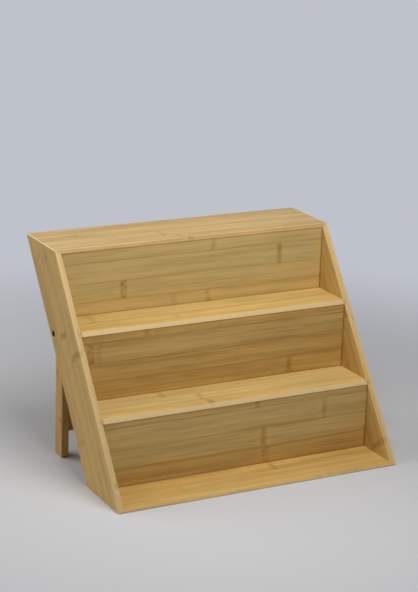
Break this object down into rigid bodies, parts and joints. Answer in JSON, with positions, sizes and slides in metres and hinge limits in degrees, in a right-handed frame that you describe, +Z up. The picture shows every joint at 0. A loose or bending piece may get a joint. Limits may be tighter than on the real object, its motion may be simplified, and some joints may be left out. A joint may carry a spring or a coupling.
{
  "type": "tiered shelf riser",
  "caption": "Bamboo counter-top riser: a leaning frame of mitred boards carries stepped shelves for jars and stands on a folding pair of rear legs.",
  "frame": {"origin": "on the surface it stands on, at the middle of the overall box in X and Y", "axes": "+X to the right across the width, +Y to the back, +Z up; the steps face -Y"},
  "size_m": [0.4, 0.2944, 0.278],
  "materials": {
    "side_boards": "satin lacquered bamboo, edge-glued strips along the lean, light at the edges",
    "top_board": "satin lacquered bamboo, edge-glued strips along the width",
    "bottom_board": "satin lacquered bamboo, edge-glued strips along the width",
    "shelves": "satin lacquered bamboo, edge-glued strips along the width",
    "risers": "satin lacquered bamboo, edge-glued strips along the width, a little darker",
    "stand": "satin lacquered solid bamboo",
    "dowels": "plain turned wood",
    "bolts": "black oxide",
    "washers": "plain nylon",
    "inserts": "zinc plated"
  },
  "bodies": {
    "frame": {"left_side": "side_boards", "right_side": "side_boards", "top_board": "top_board", "bottom_board": "bottom_board", "upper_shelf": "shelves", "lower_shelf": "shelves", "upper_riser": "risers", "middle_riser": "risers", "lower_riser": "risers"},
    "stand": {"left_leg": "stand", "right_leg": "stand", "leg_rail": "stand", "rail_dowels": "dowels", "left_pivot_bolt": "bolts", "right_pivot_bolt": "bolts", "left_pivot_washer": "washers", "right_pivot_washer": "washers", "left_leg_insert": "inserts", "right_leg_insert": "inserts"}
  },
  "joints": [
    {"name": "stand_fold", "type": "hinge", "parent": "frame", "child": "stand", "pos_m": [0, 0.05701, 0.1675], "axis": [-1, 0, 0], "range_deg": [0, 34]}
  ]
}
